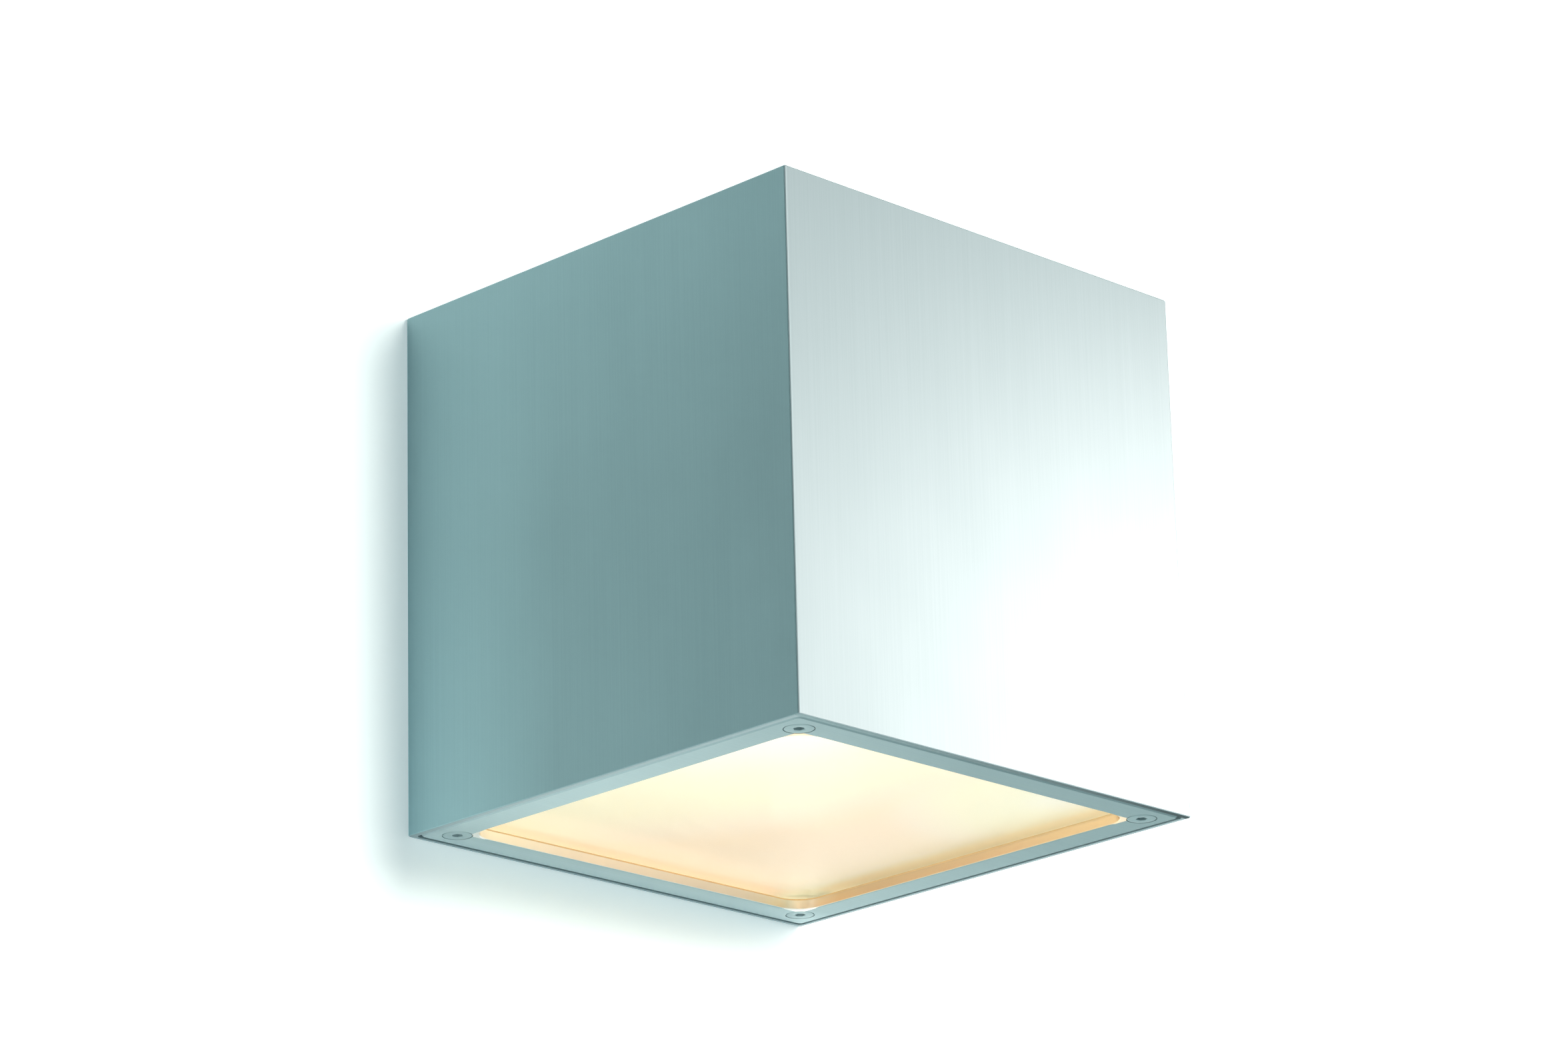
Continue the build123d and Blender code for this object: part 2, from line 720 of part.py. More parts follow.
def lamp_base():
    """The pressed glass foot of the lamp, grooved where the holder grips it."""
    foot = slab(lamp_base_width, lamp_base_depth, lamp_base_under, lamp_base_top, lamp_base_round, y=lamp_y)
    foot = chamfer(foot.faces().sort_by(Axis.Z)[-1].edges(), lamp_base_chamfer)
    low = lamp_base_under + groove_rise
    groove = slab(lamp_base_width / 2, 2 * groove_depth, low, low + groove_height, y=lamp_y)
    for side in (-lamp_base_depth / 2, lamp_base_depth / 2):
        foot -= Pos(0, side, 0) * groove
    return foot


def capsule(radius, length):
    """A closed cylinder that hangs from the origin and ends in half a ball."""
    straight = length - radius
    outline = Line((0, 0), (radius, 0)) + Line((radius, 0), (radius, -straight))
    outline += CenterArc((0, -straight), radius, 0, -90) + Line((0, -length), (0, 0))
    return revolve(Plane.XZ * make_face(outline), Axis.Z)


def lamp_envelope():
    """The glass bulb below the foot."""
    shell = capsule(envelope_radius, envelope_length)
    shell -= capsule(envelope_radius - envelope_wall, envelope_length - envelope_wall)
    return Pos(0, lamp_y, lamp_base_under) * shell


def lamp_pins():
    """Two looped pins that stand up out of the lamp's foot."""
    spread = pin_width / 2 - pin_radius
    straight = pin_length - pin_radius - spread
    outline = Line((-spread, 0), (-spread, straight)) + CenterArc((0, straight), spread, 180, -180)
    outline += Line((spread, straight), (spread, 0))
    pin = sweep(Pos(-spread, 0, 0) * Circle(pin_radius), path=Plane.XZ * outline)
    return group([Pos(x, lamp_y, lamp_base_top) * pin for x in (-pin_spacing / 2, pin_spacing / 2)])


def filament():
    """The filament, drawn as a plain rod, with the two leads that carry it from the foot."""
    z = lamp_base_under - filament_drop
    coil = Pos(0, lamp_y, z) * Rot(Y=90) * extrude(Circle(filament_radius), filament_width / 2, both=True)
    for side in (-1, 1):
        coil += rod(lead_radius, z, lamp_base_under, side * (filament_width / 2 - lead_radius), lamp_y)
    return coil


nodes = {
    "housing_tube": housing_tube(),
    "top_plate": top_plate(),
    "top_gasket": end_gasket(upper_ledge, top_under),
    "top_screws": end_screws(top, 180),
    "wall_seal": wall_seal(),
    "fixing_angle": fixing_angle(),
    "angle_rivets": angle_rivets(),
    "fixing_screws": fixing_screws(),
    "fixing_nuts": fixing_nuts(),
    "glass_frame": glass_frame(),
    "glass_bead": glass_bead(),
    "diffuser_glass": diffuser_glass(),
    "frame_gasket": end_gasket(frame_top, lower_ledge),
    "frame_screws": end_screws(bottom, 0),
    "wall_bracket": wall_bracket(),
    "cable_grommet": cable_grommet(),
    "terminal_block": terminal_block(),
    "terminal_clamps": terminal_clamps(),
    "clamp_screws": clamp_screws(),
    "block_screw": block_screw(),
    "earth_screw": earth_screw(),
    "earth_washer": earth_washer(),
    "lamp_arm": lamp_arm(),
    "arm_screws": arm_screws(),
    "reflector": reflector(),
    "reflector_rivets": reflector_rivets(),
    "lampholder": lampholder(),
    "lamp_contacts": lamp_contacts(),
    "holder_screws": holder_screws(),
    "live_wire": sleeved_wire(-1),
    "neutral_wire": sleeved_wire(1),
    "lamp_base": lamp_base(),
    "lamp_envelope": lamp_envelope(),
    "lamp_pins": lamp_pins(),
    "filament": filament(),
}

os.makedirs("parts", exist_ok=True)
for name, shape in nodes.items():
    export_step(shape, f"parts/{name}.step")
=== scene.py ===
import json
import math

import bmesh
import bpy
from mathutils import Matrix, Vector

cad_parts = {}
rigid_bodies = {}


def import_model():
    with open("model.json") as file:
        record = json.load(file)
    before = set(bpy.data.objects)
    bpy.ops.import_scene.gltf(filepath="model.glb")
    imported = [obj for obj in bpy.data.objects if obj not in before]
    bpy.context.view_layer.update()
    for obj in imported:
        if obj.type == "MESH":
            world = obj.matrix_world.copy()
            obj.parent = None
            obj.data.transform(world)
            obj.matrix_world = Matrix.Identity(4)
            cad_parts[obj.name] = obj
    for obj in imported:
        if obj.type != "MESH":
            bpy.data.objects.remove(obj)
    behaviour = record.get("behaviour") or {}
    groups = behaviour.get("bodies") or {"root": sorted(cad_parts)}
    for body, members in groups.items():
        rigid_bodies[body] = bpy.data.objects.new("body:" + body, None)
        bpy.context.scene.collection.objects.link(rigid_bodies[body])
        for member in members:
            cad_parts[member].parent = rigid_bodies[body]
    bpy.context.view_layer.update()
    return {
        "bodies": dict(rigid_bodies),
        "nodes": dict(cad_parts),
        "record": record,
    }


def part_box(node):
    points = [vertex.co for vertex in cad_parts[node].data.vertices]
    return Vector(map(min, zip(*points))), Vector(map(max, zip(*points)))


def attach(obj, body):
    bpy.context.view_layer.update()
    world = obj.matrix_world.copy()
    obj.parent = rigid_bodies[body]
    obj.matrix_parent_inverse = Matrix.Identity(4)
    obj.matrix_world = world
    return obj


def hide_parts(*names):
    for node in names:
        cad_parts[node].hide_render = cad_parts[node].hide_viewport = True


# Cube wall light: the looks. Metres, in the frame of the CAD model: X across the wall, +Y into it, +Z up.

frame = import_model()
nodes = frame["nodes"]
mm = 0.001

# Places read from the frame
tube_low, tube_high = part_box("housing_tube")
frame_low, frame_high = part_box("glass_frame")
bulb_low, bulb_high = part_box("lamp_envelope")
glass_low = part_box("diffuser_glass")[0]
tube_middle = (tube_low + tube_high) / 2
frame_middle = (frame_low + frame_high) / 2
bulb_middle = (bulb_low + bulb_high) / 2

# Sizes of the part that its boxes don't give
opening_half = 46.55 * mm    # half the side of the opening in the frame
rim_width = 1.1 * mm         # wall of the tube outside the frame
port_inset = 7 * mm          # from the outer faces to the screws in both ends

on_face = 0.1 * mm           # a point nearer to a face than this counts as on it
noise_low, noise_high = 0.3, 0.7    # nearly all values of a noise texture lie between these


# Colours and nodes

def linear(hex_colour):
    """An sRGB hex colour as the linear one that Blender's sockets take."""
    channels = [int(hex_colour[i:i + 2], 16) / 255 for i in (1, 3, 5)]
    return [c / 12.92 if c <= 0.04045 else ((c + 0.055) / 1.055) ** 2.4 for c in channels] + [1.0]


def connect(tree, node, inputs):
    """Fills a node's inputs: plain values, hex colours, outputs, or nodes for their first output in use."""
    for socket, value in inputs.items():
        if isinstance(value, str):
            value = linear(value)
        if isinstance(value, bpy.types.Node):
            value = next(output for output in value.outputs if output.enabled)
        if isinstance(value, bpy.types.NodeSocket):
            tree.links.new(value, node.inputs[socket])
        else:
            node.inputs[socket].default_value = value


# The inputs of the nodes used most. Map Range: 0 the value, 1 and 2 the range that it comes from, 3 and 4
# the range that it goes to. Mix, for colours: 0 the factor, 6 and 7 the colours. Noise: 0 the place, 2 the
# scale, 3 the detail.
def add_node(tree, kind, inputs=None, **settings):
    """Adds a node with its settings and inputs."""
    node = tree.nodes.new(kind)
    for name, value in settings.items():
        setattr(node, name, value)
    connect(tree, node, inputs or {})
    return node


def new_material(name):
    """A material with its node tree and its Principled shader."""
    material = bpy.data.materials.new(name)
    material.use_nodes = True
    tree = material.node_tree
    return material, tree, tree.nodes["Principled BSDF"]


def object_axes(tree):
    """A point's X, Y and Z on the object, in metres."""
    place = add_node(tree, "ShaderNodeTexCoord").outputs["Object"]
    return add_node(tree, "ShaderNodeSeparateXYZ", {0: place}).outputs


def pattern_place(tree, size_x, size_y, size_z, centre=(0.0, 0.0, 0.0)):
    """Object coordinates in which one unit is the given size in metres along each axis."""
    place = add_node(tree, "ShaderNodeTexCoord").outputs["Object"]
    scale = (1 / size_x, 1 / size_y, 1 / size_z)
    offset = [-c * s for c, s in zip(centre, scale)]
    return add_node(tree, "ShaderNodeMapping", {0: place, 1: offset, 3: scale})


def drifting(tree, lengths, detail, low, high):
    """A value that drifts between low and high, over patches of the given lengths."""
    cloud = add_node(tree, "ShaderNodeTexNoise", {0: pattern_place(tree, *lengths), 2: 1.0, 3: detail})
    return add_node(tree, "ShaderNodeMapRange", {0: cloud, 1: noise_low, 2: noise_high, 3: low, 4: high})


def within_square(tree, place, first, second):
    """1 where two of a place's coordinates, given by their numbers, lie between -1 and 1, and else 0."""
    axes = add_node(tree, "ShaderNodeSeparateXYZ", {0: place}).outputs
    reach_first = add_node(tree, "ShaderNodeMath", {0: axes[first]}, operation="ABSOLUTE")
    reach_second = add_node(tree, "ShaderNodeMath", {0: axes[second]}, operation="ABSOLUTE")
    reach = add_node(tree, "ShaderNodeMath", {0: reach_first, 1: reach_second}, operation="MAXIMUM")
    return add_node(tree, "ShaderNodeMath", {0: reach, 1: 1.0}, operation="LESS_THAN")


def low_front(tree, y, z, y_end, z_end):
    """1 on what lies in front of y_end and below z_end, and else 0."""
    front = add_node(tree, "ShaderNodeMath", {0: y, 1: y_end}, operation="LESS_THAN")
    low = add_node(tree, "ShaderNodeMath", {0: z, 1: z_end}, operation="LESS_THAN")
    return add_node(tree, "ShaderNodeMath", {0: front, 1: low}, operation="MULTIPLY")


# Materials

def grained(tree, shader, lengths, dark, light, strength):
    """Fine straight lines in a metal's tone and surface. They are drawn 0.35 or 0.4 mm wide, two or three
    times as wide as the real ones, so that they just show."""
    lines = add_node(tree, "ShaderNodeTexNoise", {0: pattern_place(tree, *lengths), 2: 1.0, 3: 2.0})
    tone = add_node(tree, "ShaderNodeMapRange", {0: lines, 1: noise_low, 2: noise_high, 3: 0.0, 4: 1.0})
    line_depth = 0.01 * mm
    bump = add_node(tree, "ShaderNodeBump", {"Strength": strength, "Distance": line_depth, "Height": lines})
    connect(tree, shader, {"Normal": bump, "Metallic": 1.0})
    return add_node(tree, "ShaderNodeMix", {0: tone, 6: dark, 7: light}, data_type="RGBA")


def anodised_tube(name):
    """Extruded aluminium, etched and anodised in its natural colour: an even, silky, cool silver that takes
    its tone from the room, with the faint upright grain that the die leaves. The lower rim of its front wall
    has painted shade, darker towards the right, which draws a dark line above the frame, and its left wall
    has painted light and shade: darker towards the front and lighter down by the wall."""
    material, tree, shader = new_material(name)
    grain = grained(tree, shader, (0.35 * mm, 0.35 * mm, 60 * mm), "#A3B3B7", "#A6B6BA", 0.045)
    x, y, z = object_axes(tree)

    # Painted shade on the lower rim of the front wall, darker towards the right: the dark line of the gap
    # above the frame.
    rim = low_front(tree, y, z, tube_low.y + rim_width + on_face, tube_low.z + on_face)
    across = add_node(tree, "ShaderNodeMapRange", {0: x, 1: tube_low.x, 2: tube_high.x, 3: 0.0, 4: 1.0})
    gap_shade = add_node(tree, "ShaderNodeMix", {0: across, 6: "#93A8AB", 7: "#3E4F52"}, data_type="RGBA")
    rimmed = add_node(tree, "ShaderNodeMix", {0: rim, 6: grain, 7: gap_shade}, data_type="RGBA")

    # Painted light and shade on the left wall: darker towards the front, lighter by the wall low down and a
    # little lighter near the top, and cooler in tone.
    wall_patch_start = -44 * mm
    left = add_node(tree, "ShaderNodeMath", {0: x, 1: tube_low.x + on_face}, operation="LESS_THAN")
    to_wall = add_node(tree, "ShaderNodeMapRange", {0: y, 1: tube_low.y, 2: tube_high.y, 3: 0.72, 4: 0.9})
    near_wall = add_node(tree, "ShaderNodeMapRange",
                         {0: y, 1: wall_patch_start, 2: tube_high.y, 3: 0.0, 4: 0.4})
    near_floor = add_node(tree, "ShaderNodeMapRange", {0: z, 1: tube_low.z, 2: tube_high.z, 3: 1.0, 4: 0.0})
    near_top = add_node(tree, "ShaderNodeMapRange", {0: z, 1: tube_middle.z, 2: tube_high.z, 3: 0.0, 4: 0.1})
    lighter = add_node(tree, "ShaderNodeMath", {0: near_wall, 1: near_floor, 2: to_wall},
                       operation="MULTIPLY_ADD")
    lighter = add_node(tree, "ShaderNodeMath", {0: lighter, 1: near_top}, operation="ADD")
    bluish = add_node(tree, "ShaderNodeVectorMath", {0: (0.88, 1.05, 1.05), 3: lighter}, operation="SCALE")
    painted_side_shade = add_node(tree, "ShaderNodeMix", {0: left, 6: "#FFFFFF", 7: bluish}, data_type="RGBA")
    toned = add_node(tree, "ShaderNodeMix", {0: 1.0, 6: rimmed, 7: painted_side_shade}, data_type="RGBA",
                     blend_type="MULTIPLY")
    roughness = drifting(tree, (18 * mm, 18 * mm, 30 * mm), 3.0, 0.64, 0.66)
    connect(tree, shader, {"Base Color": toned, "Roughness": roughness})
    return material


def anodised_plate(name):
    """Rolled plate, etched and anodised like the tube, with its grain across the wall."""
    material, tree, shader = new_material(name)
    grain = grained(tree, shader, (60 * mm, 0.35 * mm, 0.35 * mm), "#9AAFB2", "#9EB3B6", 0.07)
    roughness = drifting(tree, (30 * mm, 18 * mm, 18 * mm), 3.0, 0.6, 0.66)
    connect(tree, shader, {"Base Color": grain, "Roughness": roughness})
    return material


def underside_painted_light(tree, share=1.0):
    """Painted light and shade for the frame and its screws: light along the wall and on the left, and darker
    away from there. share is how much of that painted light a piece takes."""
    # Painted light: lightest by the wall beyond the left corner and falling off from there, with lighter
    # bands along the wall.
    lightest = (-70 * mm, 20 * mm, 0.0)
    spread = pattern_place(tree, 110 * mm, 160 * mm, 1.0, lightest)
    light_falloff = add_node(tree, "ShaderNodeTexGradient", {0: spread}, gradient_type="SPHERICAL").outputs[1]
    lightness = add_node(tree, "ShaderNodeMapRange", {0: light_falloff, 1: 0.0, 2: 0.525, 3: 0.0, 4: 0.7})
    y = object_axes(tree)[1]
    for start, end, most in ((-80 * mm, -14 * mm, 0.35), (-16 * mm, -5 * mm, 0.95)):
        by_wall = add_node(tree, "ShaderNodeMapRange", {0: y, 1: start, 2: end, 3: 0.0, 4: most})
        lightness = add_node(tree, "ShaderNodeMath", {0: lightness, 1: by_wall}, operation="MAXIMUM")
    taken = add_node(tree, "ShaderNodeMapRange", {0: lightness, 1: 0.0, 2: 1.0, 3: 0.0, 4: share})
    return add_node(tree, "ShaderNodeMix", {0: taken, 6: "#90A5A8", 7: "#BFD1D4"}, data_type="RGBA")


def milled_frame(name):
    """Plate that is milled out for the glass: its face is like the rest, with the painted light and shade
    that its screws share, and the milled sides of the opening are smoother, and painted brighter with the
    warm light of
    the glass beside them: tan at the front, paler towards the wall. Its front side, in the joint, is painted
    dark as shade, which makes that joint a darker line than the others."""
    material, tree, shader = new_material(name)
    grain = grained(tree, shader, (60 * mm, 0.35 * mm, 0.35 * mm), "#FAFAFA", "#FFFFFF", 0.07)
    face = add_node(tree, "ShaderNodeMix", {0: 1.0, 6: underside_painted_light(tree), 7: grain}, data_type="RGBA",
                    blend_type="MULTIPLY")
    x, y, z = object_axes(tree)

    half = opening_half + on_face / 2
    inside = within_square(tree, pattern_place(tree, half, half, 1.0, frame_middle), 0, 1)
    # Painted reflection: the glass's warm light on the milled sides of the opening, tan at the front and
    # paler towards the wall.
    warm_end, cool_start = -20 * mm, -9 * mm
    to_wall = add_node(tree, "ShaderNodeMapRange", {0: y, 1: warm_end, 2: cool_start, 3: 0.0, 4: 1.0})
    painted_glass_glow = add_node(tree, "ShaderNodeMix", {0: to_wall, 6: "#E6CAA8", 7: "#F4F0EA"}, data_type="RGBA")
    milled = add_node(tree, "ShaderNodeMix", {0: inside, 6: face, 7: painted_glass_glow}, data_type="RGBA")

    # Painted shade: a dark band on the front side of the frame, in the joint.
    shade_height = 0.8 * mm
    joint = low_front(tree, y, z, frame_low.y + on_face, frame_low.z + shade_height)
    joint_shaded = add_node(tree, "ShaderNodeMix", {0: joint, 6: milled, 7: "#4A5A5D"}, data_type="RGBA")
    roughness = add_node(tree, "ShaderNodeMapRange", {0: inside, 1: 0.0, 2: 1.0, 3: 0.62, 4: 0.3})
    connect(tree, shader, {"Base Color": joint_shaded, "Roughness": roughness})
    return material


def plain_metal(name, dark, light, rough_low, rough_high, patch):
    """A metal whose tone and gloss drift over patches of the given size, smoother where it is lighter."""
    material, tree, shader = new_material(name)
    tone = drifting(tree, (patch, patch, patch), 4.0, 0.0, 1.0)
    colour = add_node(tree, "ShaderNodeMix", {0: tone, 6: dark, 7: light}, data_type="RGBA")
    roughness = add_node(tree, "ShaderNodeMapRange", {0: tone, 1: 0.0, 2: 1.0, 3: rough_high, 4: rough_low})
    connect(tree, shader, {"Base Color": colour, "Roughness": roughness, "Metallic": 1.0})
    return material


def frame_screw_metal(name):
    """Stainless steel, blasted and dull like the frame round it, with part of the frame's painted light and
    shade.
    """
    material, tree, shader = new_material(name)
    roughness = drifting(tree, (1.5 * mm, 1.5 * mm, 1.5 * mm), 4.0, 0.56, 0.62)
    connect(tree, shader, {"Base Color": underside_painted_light(tree, 0.6), "Roughness": roughness, "Metallic": 1.0})
    return material


def rolled_sheet(name):
    """Bright rolled aluminium sheet, for the reflector: it mirrors softly, with the mill's fine lines."""
    material, tree, shader = new_material(name)
    grain = grained(tree, shader, (80 * mm, 0.4 * mm, 0.4 * mm), "#DDE0E0", "#EEEFEF", 0.05)
    roughness = drifting(tree, (40 * mm, 20 * mm, 20 * mm), 2.0, 0.26, 0.32)
    connect(tree, shader, {"Base Color": grain, "Roughness": roughness})
    return material


def woven_sleeve(name):
    """Braided glass fibre: cream, matt, with the crossing strands of the braid. The strands are drawn 0.5 mm
    wide, about as wide as the real ones."""
    material, tree, shader = new_material(name)
    strand = 0.5 * mm
    strand_height = 0.08 * mm
    unit = 3 * math.sqrt(3) * strand    # one band of the texture, light and dark, is then two strands wide
    waves = []
    for turn_x, turn_z in ((1, 1), (-1, 1), (1, -1)):
        diagonal = pattern_place(tree, turn_x * unit, unit, turn_z * unit)
        wave = add_node(tree, "ShaderNodeTexWave", {0: diagonal, 1: 1.0}, wave_type="BANDS",
                        bands_direction="DIAGONAL")
        waves.append(wave.outputs[1])
    crossed = add_node(tree, "ShaderNodeMath", {0: waves[0], 1: waves[1]}, operation="ADD")
    crossed = add_node(tree, "ShaderNodeMath", {0: crossed, 1: waves[2]}, operation="ADD")
    tone = add_node(tree, "ShaderNodeMapRange", {0: crossed, 1: 0.6, 2: 2.2, 3: 0.0, 4: 1.0})
    colour = add_node(tree, "ShaderNodeMix", {0: tone, 6: "#BDB8A8", 7: "#EFECE2"}, data_type="RGBA")
    bump = add_node(tree, "ShaderNodeBump", {"Strength": 0.6, "Distance": strand_height, "Height": crossed})
    connect(tree, shader, {"Base Color": colour, "Normal": bump, "Roughness": 0.7})
    return material


def hot_tungsten(name):
    """Coiled tungsten wire at white heat, with its colour a little uneven from turn to turn."""
    material, tree, shader = new_material(name)
    patch = pattern_place(tree, 0.6 * mm, 0.6 * mm, 0.6 * mm)
    cloud = add_node(tree, "ShaderNodeTexNoise", {0: patch, 2: 1.0, 3: 2.0})
    colour = add_node(tree, "ShaderNodeMix", {0: cloud, 6: "#FFD79A", 7: "#FFF0D2"}, data_type="RGBA")
    connect(tree, shader, {"Base Color": colour, "Metallic": 1.0, "Roughness": 0.4})
    connect(tree, shader, {"Emission Color": colour, "Emission Strength": 2.0})
    return material


def satin_glass(name):
    """Float glass etched on its lower face and lit from behind by the lamp, with a glow painted on as
    emission:
    white at its front corners, pale yellow along its right side and round the white, and peach farther off."""
    material, tree, shader = new_material(name)
    x, y, z = object_axes(tree)

    # Painted glow: the emission's colour and strength are set by place on the glass.
    whiteness = add_node(tree, "ShaderNodeMapRange", {0: y, 1: -30 * mm, 2: -12 * mm, 3: 0.0, 4: 0.12})
    by_right = add_node(tree, "ShaderNodeMapRange", {0: x, 1: 38 * mm, 2: 44 * mm, 3: 0.0, 4: 0.42})
    whiteness = add_node(tree, "ShaderNodeMath", {0: whiteness, 1: by_right}, operation="MAXIMUM")
    left_corner = (frame_low.x + 9 * mm, frame_low.y + 9 * mm, glass_low.z)
    right_corner = (frame_high.x - 20 * mm, frame_low.y + 13 * mm, glass_low.z)
    for corner, reach_x, reach_y, most in (
        (left_corner, 58 * mm, 118 * mm, 1.0),
        (right_corner, 34 * mm, 40 * mm, 0.8),
    ):
        spread = pattern_place(tree, reach_x, reach_y, 50 * mm, corner)
        spot = add_node(tree, "ShaderNodeTexGradient", {0: spread}, gradient_type="SPHERICAL").outputs[1]
        corner_glow = add_node(tree, "ShaderNodeMapRange", {0: spot, 1: 0.0, 2: 1.0, 3: 0.0, 4: most})
        whiteness = add_node(tree, "ShaderNodeMath", {0: whiteness, 1: corner_glow}, operation="MAXIMUM")

    glow = add_node(tree, "ShaderNodeValToRGB", {0: whiteness})
    stops = ((0.0, "#FACF9E"), (0.15, "#FDE6C6"), (0.35, "#FFF8C8"), (0.6, "#FFFDD6"), (0.8, "#FFFFFF"))
    for position, colour in stops[1:-1]:
        glow.color_ramp.elements.new(position)
    for element, (position, colour) in zip(glow.color_ramp.elements, stops):
        element.position = position
        element.color = linear(colour)

    to_wall = add_node(tree, "ShaderNodeMapRange", {0: y, 1: -25 * mm, 2: -8 * mm, 3: 0.16, 4: 0.29})
    to_right = add_node(tree, "ShaderNodeMapRange", {0: x, 1: 34 * mm, 2: 45 * mm, 3: 0.0, 4: -0.035})
    from_front = add_node(tree, "ShaderNodeMapRange", {0: y, 1: -85 * mm, 2: -60 * mm, 3: 0.0, 4: 1.0})
    strength = add_node(tree, "ShaderNodeMath", {0: to_right, 1: from_front, 2: to_wall},
                        operation="MULTIPLY_ADD")
    connect(tree, shader, {"Emission Color": glow, "Emission Strength": strength, "Base Color": "#FBF3E2"})
    connect(tree, shader, {"Transmission Weight": 1.0, "Roughness": 0.32, "IOR": 1.5})
    return material


def clear_glass(name):
    """Fire-polished lamp glass, so thin that it only adds its shine to what is behind it."""
    material, tree, shader = new_material(name)
    tree.nodes.remove(shader)
    clear = add_node(tree, "ShaderNodeBsdfTransparent", {0: "#F8FAFA"})
    shine = add_node(tree, "ShaderNodeBsdfGlossy", {0: "#FFFFFF", 1: 0.05})
    fresnel = add_node(tree, "ShaderNodeFresnel", {0: 1.5})
    both = add_node(tree, "ShaderNodeMixShader", {0: fresnel, 1: clear, 2: shine})
    connect(tree, tree.nodes["Material Output"], {"Surface": both})
    return material


def painted_glow_bead(name):
    """Clear silicone against the edge of the lit glass, with the light it would carry round painted on:
    amber in colour, with a painted amber glow.
    """
    material, tree, shader = new_material(name)
    patch = pattern_place(tree, 3 * mm, 3 * mm, 3 * mm)
    cloud = add_node(tree, "ShaderNodeTexNoise", {0: patch, 2: 1.0, 3: 2.0})
    colour = add_node(tree, "ShaderNodeMix", {0: cloud, 6: "#C9A97A", 7: "#D8BE94"}, data_type="RGBA")
    connect(tree, shader, {"Base Color": colour, "Roughness": 0.4})
    connect(tree, shader, {"Emission Color": colour, "Emission Strength": 0.45})
    return material


def moulded(name, dark, light, roughness, grain):
    """A moulded plastic, rubber or ceramic with a fine matt skin, whose grain has the given size."""
    material, tree, shader = new_material(name)
    skin = pattern_place(tree, grain, grain, grain)
    noise = add_node(tree, "ShaderNodeTexNoise", {0: skin, 2: 1.0, 3: 3.0})
    tone = add_node(tree, "ShaderNodeMapRange", {0: noise, 1: noise_low, 2: noise_high, 3: 0.0, 4: 1.0})
    colour = add_node(tree, "ShaderNodeMix", {0: tone, 6: dark, 7: light}, data_type="RGBA")
    grain_depth = 0.02 * mm
    bump = add_node(tree, "ShaderNodeBump", {"Strength": 0.3, "Distance": grain_depth, "Height": noise})
    connect(tree, shader, {"Base Color": colour, "Normal": bump, "Roughness": roughness})
    return material


finishes = {
    "tube": anodised_tube("anodised_tube"),
    "plate": anodised_plate("anodised_plate"),
    "frame": milled_frame("milled_frame"),
    "reflector_sheet": rolled_sheet("rolled_aluminium_sheet"),
    "zinc_plated_steel": plain_metal("zinc_plated_steel", "#BBC1C4", "#C5CACC", 0.36, 0.42, 5 * mm),
    "stainless_steel": plain_metal("stainless_steel", "#98A6A8", "#A5B1B3", 0.42, 0.5, 1.5 * mm),
    "frame_screw_metal": frame_screw_metal("dull_stainless_steel"),
    "blasted_stainless": plain_metal("blasted_stainless_steel", "#99ADB0", "#A2B5B8", 0.56, 0.62, 1.5 * mm),
    "brass": plain_metal("brass", "#C9A255", "#DBBA72", 0.26, 0.36, 2 * mm),
    "nickel_wire": plain_metal("nickel_plate", "#BDB8AD", "#D2CCC0", 0.2, 0.3, 1.5 * mm),
    "silicone": moulded("silicone", "#BFC3C1", "#CCD0CE", 0.55, 0.8 * mm),
    "painted_glow_bead": painted_glow_bead("silicone_painted_glow"),
    "black_rubber": moulded("black_rubber", "#121212", "#1C1C1C", 0.75, 0.4 * mm),
    "polyamide": moulded("polyamide", "#E5E1D5", "#ECE9DF", 0.42, 0.3 * mm),
    "steatite": moulded("steatite", "#E8E2D2", "#F0EBDF", 0.68, 0.5 * mm),
    "wire_sleeve": woven_sleeve("glass_fibre_sleeve"),
    "hot_tungsten": hot_tungsten("hot_tungsten"),
    "satin_glass": satin_glass("satin_glass"),
    "clear_glass": clear_glass("clear_glass"),
}

# Finishes of the CAD nodes, by the record's slots. The tube's grain runs up and that of the plates across.
own_finishes = {
    "housing_tube": "tube",
    "top_plate": "plate",
    "glass_frame": "frame",
    "glass_bead": "painted_glow_bead",
}
for part in frame["record"]["subparts"]:
    node = nodes[part["node"]]
    finish = finishes[own_finishes.get(part["node"], part["material_slot"])]
    node.data.materials.clear()
    node.data.materials.append(finish)


# Tools for pieces with more detail than their CAD nodes

sharp_from = math.radians(32)
merge_distance = 0.001 * mm


def edges_of(geometry):
    """The edges in what an operator returns."""
    return [e for e in geometry if isinstance(e, bmesh.types.BMEdge)]


def verts_of(geometry):
    """The vertices in what an operator returns."""
    return [v for v in geometry if isinstance(v, bmesh.types.BMVert)]


def new_edges(shape, before):
    """The edges that a mesh has gained."""
    return [e for e in shape.edges if e not in before]


def all_of(shape):
    """A mesh's vertices, edges and faces."""
    return shape.verts[:] + shape.edges[:] + shape.faces[:]


def add_circle(shape, radius, segments, height=0.0):
    """A ring of edges round Z. Returns them."""
    before = set(shape.edges)
    verts = bmesh.ops.create_circle(shape, segments=segments, radius=radius)["verts"]
    bmesh.ops.translate(shape, verts=verts, vec=(0, 0, height))
    return new_edges(shape, before)


